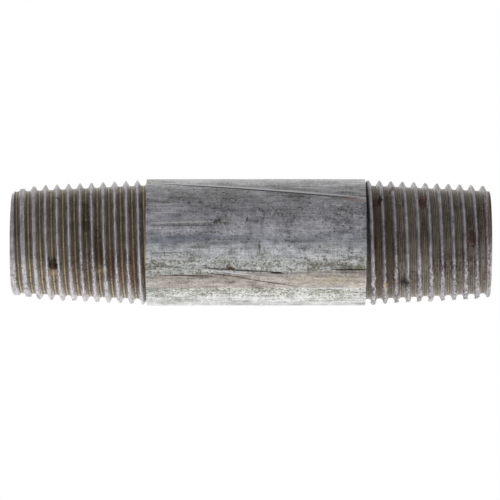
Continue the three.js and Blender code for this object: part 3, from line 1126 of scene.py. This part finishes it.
@dataclass
class ThreadedEnd:
    """Outside of one threaded end: the helical ridge, its lead cone and its wear.

    The lead steps are each corner's distance from the face and rise over the face's
    edge, in millimetres. Wear is 1 on a badly worn thread. The band is how far the tone
    of a crest reaches on each side of it, in pitches.
    """

    pipe: Pipe
    side: EndSide
    length: float
    crest_from_face: float
    face_drop: float
    lead_steps: tuple[Point, ...]
    crest_wear: float
    shoulder_fin: float = 0.0
    crest_band: float = 0.0
    form: ThreadForm = field(default_factory=ThreadForm)

    @property
    def face_x(self) -> float:
        """X of the flat end face."""
        return self.pipe.low if self.side is EndSide.LONG else self.pipe.high

    @property
    def shoulder_x(self) -> float:
        """X of the plane where the thread stops."""
        return self.face_x - self.side.value * self.length

    @property
    def crest_at_top(self) -> float:
        """X of a crest on the line along the top of the pipe."""
        return self.face_x - self.side.value * self.crest_from_face

    def floor_radius(self, x: np.ndarray) -> np.ndarray:
        """Radius of the groove's floor at x."""
        out = self.side.value * (x - self.shoulder_x)
        return self.pipe.crest_radius - self.form.depth - out * self.form.taper

    def lead_radius(self, x: np.ndarray) -> np.ndarray:
        """Gives the radius that the rim and the lead cone leave.

        Args:
            x: Places along the pipe.

        Returns:
            The largest radius that each place may have.
        """
        along, rise = np.array(self.lead_steps).T * MM
        run_on = 4 * MM
        slope = (rise[-1] - rise[-2]) / (along[-1] - along[-2])
        along = np.append(along, along[-1] + run_on)
        rise = np.append(rise, rise[-1] + run_on * slope)
        inwards = self.side.value * (self.face_x - x)
        return self.pipe.steel_radius - self.face_drop + np.interp(inwards, along, rise)

    def ridge_strip(self) -> bpy.types.Object:
        """Makes the outline of one pitch as a chain of edges above the axis.

        Returns:
            The chain, one pitch or more beyond the left plane of the thread.
        """
        points = self.form.ridge()
        low = min(self.face_x, self.shoulder_x) - 1.5 * self.form.pitch
        first = math.floor((low - self.crest_at_top) / self.form.pitch)
        crest = self.crest_at_top + first * self.form.pitch
        deselect_everything()
        bpy.ops.mesh.primitive_plane_add(size=self.form.pitch)
        strip = bpy.context.active_object
        strip.name = strip.data.name = f"thread_{self.side.name.lower()}"
        with editing(strip, "VERT"):
            bpy.ops.mesh.select_all(action="SELECT")
            bpy.ops.mesh.merge(type="CENTER")
            bpy.ops.mesh.select_all(action="SELECT")
            start = (crest + points[0][0], 0, self.pipe.crest_radius + points[0][1])
            bpy.ops.transform.translate(value=start)
            for (x0, z0), (x1, z1) in zip(points, points[1:]):
                bpy.ops.mesh.extrude_region_move(
                    TRANSFORM_OT_translate={"value": (x1 - x0, 0, z1 - z0)}
                )
        return strip

    def wind(self, strip: bpy.types.Object) -> None:
        """Winds the one-pitch strip into the whole thread with a screw modifier.

        Args:
            strip: The outline of one pitch.
        """
        reach = self.length + 3.5 * self.form.pitch
        screw = strip.modifiers.new("wind", "SCREW")
        screw.axis = "X"
        screw.angle = WHOLE_TURN
        screw.screw_offset = self.form.pitch
        screw.iterations = math.ceil(reach / self.form.pitch)
        screw.steps = screw.render_steps = SEGMENTS_ROUND
        screw.use_normal_calculate = False
        deselect_everything()
        bpy.context.view_layer.objects.active = strip
        strip.select_set(True)
        bpy.ops.object.modifier_apply(modifier=screw.name)
        with editing(strip, "VERT"):
            bpy.ops.mesh.select_all(action="SELECT")
            bpy.ops.mesh.remove_doubles(threshold=self.form.pitch / 2000)

    def shape(self, obj: bpy.types.Object) -> None:
        """Gives the straight thread its taper, its lead cone, its fin and its wear.

        Args:
            obj: The wound thread.
        """
        places = places_of(obj.data)
        x, radius, turn = to_round(places)
        pitches = (x - self.crest_at_top) / self.form.pitch - turn / WHOLE_TURN
        from_crest = (pitches - np.round(pitches)) * self.form.pitch
        height = radius - self.pipe.crest_radius
        height = height + self.fin_rise(x - from_crest, height)
        top = soft_step(height / self.form.depth, 0.55, 1.0)
        damage = self.damage(turn)
        rough = grain(places, (0.30 * MM, 0.26 * MM, 0.26 * MM), 7.7)
        height = self.worn(places, height, damage) + rough * (0.008 * MM + 0.045 * MM * top * damage)
        x = x + self.bent(places, top, damage)
        target = self.floor_radius(x) + height
        lead = self.lead_radius(x)
        spare = np.maximum(target - lead, 0)
        slide = np.sign(from_crest) * spare * self.form.flank_slope
        slide[np.abs(from_crest) < self.form.crest_flat / 4] = 0
        room = self.form.pitch / 2 - np.abs(from_crest)
        slide = np.clip(slide, -room, room)
        move_to(obj.data, from_round(x + slide, np.minimum(target, lead), turn))
        self.note_bands(obj, from_crest / self.form.pitch, spare > 0)
        self.note(obj, "damage", damage)

    def note_bands(self, obj: bpy.types.Object, along: np.ndarray, cut_back: np.ndarray) -> None:
        """Keeps how far each vertex is from its crest, and where a highlight is painted along an edge.

        Args:
            obj: The thread.
            along: Distance of each vertex from its crest, in pitches.
            cut_back: Whether the lead cone has lowered each vertex.
        """
        groove = np.maximum(np.abs(along) - self.crest_band, 0)
        # Mask for the highlight that the finish paints along the crest's edge on its +X side.
        lit_edge = np.exp(-(((along - self.crest_band) / 0.028) ** 2))
        self.note(obj, "groove", np.where(cut_back, 0.02, groove))
        self.note(obj, "lit_edge", np.where(cut_back, 0.0, lit_edge))

    def note(self, obj: bpy.types.Object, name: str, values: np.ndarray) -> None:
        """Keeps one number at each vertex for the finish to read."""
        obj.data.attributes.new(name, "FLOAT", "POINT").data.foreach_set("value", values)

    def bent(self, places: np.ndarray, top: np.ndarray, damage: np.ndarray) -> np.ndarray:
        """Pushes damaged crests along the pipe, but not close to the planes of the cuts.

        Args:
            places: Rows of x, y, z.
            top: 1 at the crests and 0 well below them.
            damage: How badly each place is damaged.

        Returns:
            How far each vertex moves along the pipe.
        """
        x = places[:, 0]
        from_cuts = np.minimum(np.abs(x - self.face_x), np.abs(x - self.shoulder_x))
        loose = top * soft_step(from_cuts, 0.15 * MM, 0.6 * MM) * damage**2
        return loose * 0.14 * MM * grain(places, (0.8 * MM, 0.36 * MM, 0.36 * MM), 15.2)

    def fin_rise(self, crest_x: np.ndarray, height: np.ndarray) -> np.ndarray:
        """Raises a thin fin on the first crest beside the shoulder.

        Args:
            crest_x: X of the crest that each vertex belongs to, at its own turn.
            height: Height of each vertex over the floor.

        Returns:
            How much each vertex rises.
        """
        away = self.side.value * (crest_x - self.shoulder_x)
        ring = soft_step(away, 0.0, 0.12 * MM) * (1 - soft_step(away, 0.9 * MM, 1.3 * MM))
        return self.shoulder_fin * ring * np.clip(height / self.form.depth, 0, 1) ** 3

    def damage(self, turn: np.ndarray) -> np.ndarray:
        """Gives how badly the crests are damaged; the lower front is the worst.

        Args:
            turn: Turns round the pipe.

        Returns:
            The damage at each turn, 0 for none.
        """
        lower = soft_step(turn, math.radians(95), math.radians(135))
        lower *= 1 - soft_step(turn, math.radians(195), math.radians(235))
        return self.crest_wear * (0.32 + 0.98 * lower)

    def worn(self, places: np.ndarray, height: np.ndarray, damage: np.ndarray) -> np.ndarray:
        """Flattens and chips the crests.

        Args:
            places: Rows of x, y, z.
            height: Height of each vertex over the floor.
            damage: How badly each place is damaged.

        Returns:
            The height that is left.
        """
        broad = grain(places, (1.0 * MM, 1.1 * MM, 1.1 * MM), 3.1)
        chips = grain(places, (0.55 * MM, 0.36 * MM, 0.36 * MM), 41.7)
        lost = 0.12 * soft_step(broad, -0.35, 0.45) + 0.30 * soft_step(chips, 0.15, 0.5)
        return np.minimum(height, self.form.depth * (1 - lost * damage))

    def trim(self, obj: bpy.types.Object) -> None:
        """Cuts the thread off square at the face and at the shoulder.

        Args:
            obj: The thread.
        """
        for x, outward in ((self.face_x, self.side.value), (self.shoulder_x, -self.side.value)):
            with editing(obj, "FACE"):
                bpy.ops.mesh.select_all(action="SELECT")
                bpy.ops.mesh.bisect(
                    plane_co=(x, 0, 0),
                    plane_no=(outward, 0, 0),
                    clear_outer=True,
                    threshold=self.form.pitch / 5000,
                )

    def build(self) -> bpy.types.Object:
        """Builds the outside of the threaded end.

        Returns:
            The thread, open at the face and at the shoulder.
        """
        strip = self.ridge_strip()
        self.wind(strip)
        self.shape(strip)
        self.trim(strip)
        return strip


@dataclass
class PlainStretch:
    """The plain middle: the zinc-coated outside between the two shoulders."""

    pipe: Pipe
    low: float
    high: float
    rows: int = 96
    edge_round: float = 0.035 * MM
    scarf_from: float = math.radians(116)
    scarf_to: float = math.radians(136)
    scarf_depth: float = 0.035 * MM
    sunk: float = 0.017 * MM
    shoulder_step: float = 4e-3 * MM

    def relief(self, places: np.ndarray) -> np.ndarray:
        """Gives the waves, pits and scraped strip of the zinc.

        Args:
            places: Rows of x, y, z.

        Returns:
            Height over the true radius at each place.
        """
        _, _, turn = to_round(places)
        lumps = grain(places, (5 * MM, 1.6 * MM, 1.6 * MM), 11.3)
        runs = grain(places, (2.4 * MM, 0.45 * MM, 0.45 * MM), 5.9)
        pits = grain(places, (0.5 * MM, 0.42 * MM, 0.42 * MM), 23.7)
        wander = grain(places, (3.0 * MM, 99.0, 99.0), 2.2) * math.radians(1.3)
        scarf = soft_step(turn + wander, self.scarf_from, self.scarf_from + math.radians(2.5))
        scarf *= 1 - soft_step(turn, self.scarf_to - math.radians(7), self.scarf_to + math.radians(4))
        dents = soft_step(pits, 0.35, 0.8) * 0.016 * MM
        waves = lumps * 0.010 * MM + runs * 0.007 * MM
        return waves - dents - scarf * self.scarf_depth - self.sunk

    def turn_in(self, tube: bpy.types.Object, at: float) -> None:
        """Turns one rim in towards the thread's crests and rounds the edge that this leaves.

        Args:
            tube: The plain stretch.
            at: X of the rim.
        """
        shrink = (self.pipe.crest_radius + self.shoulder_step) / self.pipe.radius
        edge_radius = self.pipe.radius - 0.045 * MM

        def on_rim(place: Vector) -> bool:
            """Tells whether a place lies in the rim's plane."""
            return abs(place.x - at) < ON_PLANE / 3

        def on_edge(place: Vector) -> bool:
            """Tells whether a place lies on the rim's outer edge."""
            return on_rim(place) and math.hypot(place.y, place.z) > edge_radius

        with editing(tube):
            select_edges(tube, lambda a, b: on_rim(a) and on_rim(b))
            bpy.ops.mesh.extrude_region_move()
            bpy.ops.transform.resize(value=(1, shrink, shrink), center_override=(at, 0, 0))
        with editing(tube):
            select_edges(tube, lambda a, b: on_edge(a) and on_edge(b))
            bpy.ops.mesh.bevel(offset=self.edge_round, segments=2, affect="EDGES")

    def build(self) -> bpy.types.Object:
        """Builds the plain stretch, with rounded edges that lead down into the shoulders.

        Returns:
            The stretch, open at both of its planes.
        """
        tube = open_tube("plain_stretch", self.low, self.high, self.pipe.radius, self.rows)
        places = places_of(tube.data)
        x, radius, turn = to_round(places)
        move_to(tube.data, from_round(x, radius + self.relief(places), turn))
        for at in (self.low, self.high):
            self.turn_in(tube, at)
        return tube


@dataclass
class Bore:
    """The open bore with its reamed mouths and its low weld bead."""

    pipe: Pipe
    rows: int = 20
    bead_width: float = 0.8 * MM
    bead_height: float = 0.12 * MM

    def reamed_rows(self, x: np.ndarray) -> np.ndarray:
        """Moves the tube's outermost rows out to where the reamed mouths start.

        Args:
            x: Places along the pipe, in even rows.

        Returns:
            The places after the move.
        """
        low, high = self.pipe.low, self.pipe.high
        row = (high - low) / self.rows
        outermost = np.abs(np.minimum(x - low, high - x) - row) < row / 4
        return np.where(outermost, np.where(x < 0, low + self.pipe.ream, high - self.pipe.ream), x)

    def build(self) -> bpy.types.Object:
        """Builds the wall of the bore.

        Returns:
            The wall, open at both faces.
        """
        low, high = self.pipe.low, self.pipe.high
        tube = open_tube("bore", low, high, self.pipe.bore_radius, self.rows)
        places = places_of(tube.data)
        x, radius, turn = to_round(places)
        x = self.reamed_rows(x)
        mouth = np.clip(1 - np.minimum(x - low, high - x) / self.pipe.ream, 0, 1)
        off_seam = (turn - self.pipe.seam_turn) * self.pipe.bore_radius
        bead = np.exp(-((off_seam / (self.bead_width / 2.6)) ** 2)) * self.bead_height
        rough = grain(places, (1.5 * MM, 0.6 * MM, 0.6 * MM), 31.0) * 0.02 * MM
        reach = radius + mouth * self.pipe.ream + (1 - mouth) * (rough - bead)
        move_to(tube.data, from_round(x, reach, turn))
        return tube


@dataclass
class PipeNipple:
    """The whole nipple, one closed piece of pipe."""

    pipe: Pipe
    long_end: ThreadedEnd
    short_end: ThreadedEnd
    obj: bpy.types.Object | None = None

    @classmethod
    def from_frame(cls) -> "PipeNipple":
        """Works the nipple out from the CAD part's box.

        Returns:
            The nipple, not yet built.
        """
        pipe = Pipe()
        long_end = ThreadedEnd(
            pipe=pipe,
            side=EndSide.LONG,
            length=11.02 * MM,
            crest_from_face=0.829 * MM,
            face_drop=1.125 * MM,
            lead_steps=((0, 0), (0.05, 0.13), (0.25, 0.31), (0.9, 0.37), (1.8, 0.57)),
            crest_wear=0.8,
        )
        short_end = ThreadedEnd(
            pipe=pipe,
            side=EndSide.SHORT,
            length=10.2 * MM,
            crest_from_face=0.557 * MM,
            face_drop=0.795 * MM,
            lead_steps=((0, 0), (0.03, 0.08), (0.1, 0.15), (0.9, 0.42)),
            crest_wear=1.15,
            shoulder_fin=0.06 * MM,
            crest_band=0.045,
        )
        return cls(pipe, long_end, short_end)

    def dress(self) -> None:
        """Gives each face the finish of the part of the pipe that it lies on."""
        mesh = self.obj.data
        threads = (CutThread.long_end(), CutThread.short_end())
        for finish in (WeatheredZinc(), *threads, SawnFace(), BoreZinc()):
            mesh.materials.append(finish.build())
        x = rows_of(mesh, "center")[:, 0]
        zone = self.zones()
        outside = zone == Zone.OUTSIDE.value
        on_long = outside & (x < self.long_end.shoulder_x - ON_PLANE / 3)
        on_short = outside & (x > self.short_end.shoulder_x + ON_PLANE / 3)
        at_face = (zone == Zone.LONG_FACE.value) | (zone == Zone.SHORT_FACE.value)
        in_bore = zone == Zone.BORE.value
        finish = np.select([on_long, on_short, at_face, in_bore], [1, 2, 3, 4], default=0)
        mesh.polygons.foreach_set("material_index", finish)
        mesh.update()

    def unwrap(self) -> None:
        """Unrolls the outside, the bore and the rings into rectangles of one map for baking."""
        mesh = self.obj.data
        corners = np.empty(len(mesh.loops), dtype=int)
        mesh.loops.foreach_get("vertex_index", corners)
        starts = np.empty(len(mesh.polygons), dtype=int)
        mesh.polygons.foreach_get("loop_start", starts)
        face_of = np.repeat(np.arange(len(starts)), np.diff(np.append(starts, len(corners))))
        x, radius, turn = (values[corners] for values in to_round(places_of(mesh)))
        turn = np.where(turn > WHOLE_TURN - 1e-4, 0, turn)
        last = np.maximum.reduceat(turn, starts)[face_of]
        turn = np.where(last - turn > math.pi, turn + WHOLE_TURN, turn) / WHOLE_TURN
        along = (x - self.pipe.low) / (self.pipe.high - self.pipe.low)
        zone = self.zones()[face_of]
        rise = radius / self.pipe.radius
        strips = [turn * 0.55, 0.58 + turn * 0.25]
        strips += [0.86 + 0.035 * ring + rise * 0.03 for ring in range(4)]
        u = np.where(zone <= Zone.BORE.value, along, turn) * 0.97
        v = np.choose(zone, strips)
        uv = np.stack([u, v], axis=1)
        mesh.uv_layers.new(name=BAKE_MAP).data.foreach_set("uv", uv.ravel())

    def zones(self) -> np.ndarray:
        """Sorts the faces by the part of the pipe that they lie on.

        Returns:
            The value of each face's Zone.
        """
        mesh = self.obj.data
        x, radius, _ = to_round(rows_of(mesh, "center"))
        flat_on = np.abs(rows_of(mesh, "normal")[:, 0]) > 0.9
        in_bore = radius < self.pipe.bore_radius + self.pipe.ream
        zone = np.where(in_bore, Zone.BORE.value, Zone.OUTSIDE.value)
        planes = {
            Zone.LONG_FACE: self.pipe.low,
            Zone.LONG_SHOULDER: self.long_end.shoulder_x,
            Zone.SHORT_SHOULDER: self.short_end.shoulder_x,
            Zone.SHORT_FACE: self.pipe.high,
        }
        for ring, plane in planes.items():
            zone = np.where(flat_on & (np.abs(x - plane) < ON_PLANE), ring.value, zone)
        return zone

    def close_ring(self, mesh: bmesh.types.BMesh, at: float) -> None:
        """Fills the flat ring between the two open rims that lie in the plane x = at.

        Args:
            mesh: The nipple's mesh.
            at: X of the plane.
        """
        rims = self.open_rims(mesh, at)
        first, second = ([*rim, rim[0]] for rim in rims)
        here, there = 0, 0
        while here < len(first) - 1 or there < len(second) - 1:
            ahead = self.next_turn(first, here) <= self.next_turn(second, there)
            if ahead:
                mesh.faces.new((first[here], first[here + 1], second[there]))
                here += 1
            else:
                mesh.faces.new((first[here], second[there + 1], second[there]))
                there += 1

    @staticmethod
    def turn_of(vertex: bmesh.types.BMVert) -> float:
        """Turn of a vertex round the pipe, from 0 to 2 pi."""
        turn = math.atan2(-vertex.co.y, vertex.co.z) % WHOLE_TURN
        return 0.0 if turn > WHOLE_TURN - 1e-4 else turn

    def next_turn(self, rim: list[bmesh.types.BMVert], index: int) -> float:
        """Gives the turn of the vertex after this one on a rim.

        Args:
            rim: The rim's vertices in order.
            index: Which vertex this one is.

        Returns:
            The next vertex's turn; a whole turn or more once the rim comes round.
        """
        last = len(rim) - 1
        if index >= last:
            return math.inf
        if index == last - 1:
            return WHOLE_TURN + self.turn_of(rim[last])
        return self.turn_of(rim[index + 1])

    def open_rims(self, mesh: bmesh.types.BMesh, at: float) -> list[list[bmesh.types.BMVert]]:
        """Finds the open rims in one plane.

        Args:
            mesh: The nipple's mesh.
            at: X of the plane.

        Returns:
            Each rim's vertices in order, from the top round by way of the front.
        """
        waiting = {
            vertex
            for edge in mesh.edges
            if edge.is_boundary and all(abs(v.co.x - at) < ON_PLANE for v in edge.verts)
            for vertex in edge.verts
        }
        rims = []
        while waiting:
            vertex = min(waiting, key=self.turn_of)
            rim = []
            while vertex is not None:
                rim.append(vertex)
                waiting.discard(vertex)
                beside = [
                    edge.other_vert(vertex)
                    for edge in vertex.link_edges
                    if edge.is_boundary and edge.other_vert(vertex) in waiting
                ]
                vertex = min(beside, key=self.turn_of) if beside else None
            rims.append(rim)
        return rims

    def build(self) -> bpy.types.Object:
        """Builds the parts and joins them into one closed mesh.

        Returns:
            The finished nipple.
        """
        plain = PlainStretch(self.pipe, self.long_end.shoulder_x, self.short_end.shoulder_x)
        parts = [plain.build(), self.long_end.build(), self.short_end.build(), Bore(self.pipe).build()]
        deselect_everything()
        for part in parts:
            part.select_set(True)
        bpy.context.view_layer.objects.active = parts[0]
        bpy.ops.object.join()
        self.obj = bpy.context.active_object
        self.obj.name = self.obj.data.name = "nipple_steel"
        mesh = bmesh.new()
        mesh.from_mesh(self.obj.data)
        for at in (self.pipe.low, plain.low, plain.high, self.pipe.high):
            self.close_ring(mesh, at)
        mesh.to_mesh(self.obj.data)
        mesh.free()
        self.face_outwards()
        return self.obj

    def face_outwards(self) -> None:
        """Turns every face outwards: the faces agree first, then the volume must be positive."""
        with editing(self.obj, "VERT"):
            bpy.ops.mesh.select_all(action="SELECT")
            bpy.ops.mesh.normals_make_consistent(inside=False)
            inside_out = bmesh.from_edit_mesh(self.obj.data).calc_volume(signed=True) < 0
            if inside_out:
                bpy.ops.mesh.flip_normals()


# ---------------------------------------------------------------- studio


@dataclass(frozen=True)
class Studio:
    """Pale floor and backdrop, soft light and the camera."""

    pipe: Pipe
    view_distance: float = 338 * MM
    field_width: float = 41.01 * MM
    aim_x: float = -0.078 * MM
    aim_z: float = -0.632 * MM
    floor_front: float = 0.55
    floor_back: float = 1.05
    front_until: float = -14 * MM
    back_from: float = 4 * MM
    sky_front: float = 0.36
    sky_back: float = 0.95
    sky_lean: float = 0.25

    def camera(self) -> None:
        """Sets a long lens square on to the side of the nipple."""
        data = bpy.data.cameras.new("camera")
        data.lens = data.sensor_width * self.view_distance / self.field_width
        data.clip_start = 5 * MM
        data.clip_end = 20
        obj = bpy.data.objects.new("camera", data)
        obj.location = (self.aim_x, -self.view_distance, self.aim_z)
        obj.rotation_euler = (math.pi / 2, 0, 0)
        bpy.context.scene.collection.objects.link(obj)
        bpy.context.scene.camera = obj

    def sweep(self) -> None:
        """Lays the pale floor that the nipple lies on."""
        deselect_everything()
        bpy.ops.mesh.primitive_plane_add(size=3, location=(0, 0, -self.pipe.radius))
        floor = bpy.context.active_object
        floor.name = "floor"
        material = bpy.data.materials.new("pale_floor")
        material.use_nodes = True
        material.node_tree.nodes.clear()
        graph = Graph(material.node_tree)
        out = graph.add("ShaderNodeOutputMaterial")
        glow = graph.add("ShaderNodeEmission")
        graph.feed(out.inputs["Surface"], glow.outputs[0])
        _, back, _ = graph.parts(graph.add("ShaderNodeTexCoord").outputs["Object"])
        reach = graph.span(back, self.front_until, self.back_from, self.floor_front, self.floor_back)
        self.white_to_camera(graph, reach, glow.inputs["Strength"])
        floor.data.materials.append(material)

    def white_to_camera(self, graph: Graph, glow: Socket, strength: Socket) -> None:
        """Makes a glow plain white where the camera sees it, and its own strength as light.

        Args:
            graph: The nodes that the glow is in.
            glow: How strongly it lights the nipple.
            strength: The strength that is set.
        """
        path = graph.add("ShaderNodeLightPath")
        mix = graph.add("ShaderNodeMix", data_type="FLOAT")
        graph.feed(mix.inputs["Factor"], path.outputs["Is Camera Ray"])
        graph.feed(mix.inputs[2], glow)
        graph.feed(mix.inputs[3], 1.0)
        graph.feed(strength, mix.outputs[0])

    def lights(self) -> None:
        """Sets the soft light: dim in front and above, brighter behind and on the left."""
        world = bpy.data.worlds.new("soft_light")
        world.use_nodes = True
        bpy.context.scene.world = world
        graph = Graph(world.node_tree)
        right, back, _ = graph.parts(graph.add("ShaderNodeTexCoord").outputs["Generated"])
        behind = graph.span(back, 0.3, 1.0, self.sky_front, self.sky_back)
        leftwards = graph.calc("MULTIPLY_ADD", right, -self.sky_lean, 1.0)
        background = world.node_tree.nodes["Background"]
        graph.feed(background.inputs["Color"], (1, 1, 1, 1))
        glow = graph.calc("MULTIPLY", behind, leftwards)
        self.white_to_camera(graph, glow, background.inputs["Strength"])
        bpy.context.scene.view_settings.view_transform = "Standard"

    def build(self) -> None:
        """Builds the whole studio."""
        self.camera()
        self.sweep()
        self.lights()


def main() -> None:
    """Builds the nipple and its studio, and ties the nipple to the CAD part."""
    logging.basicConfig(level=logging.INFO)
    nipple = PipeNipple.from_frame()
    Studio(nipple.pipe).build()
    piece = nipple.build()
    nipple.dress()
    nipple.unwrap()
    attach(piece, "root")
    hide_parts(NODE)
    log.info("%s: %d vertices", piece.name, len(piece.data.vertices))


if __name__ == "__main__":
    main()
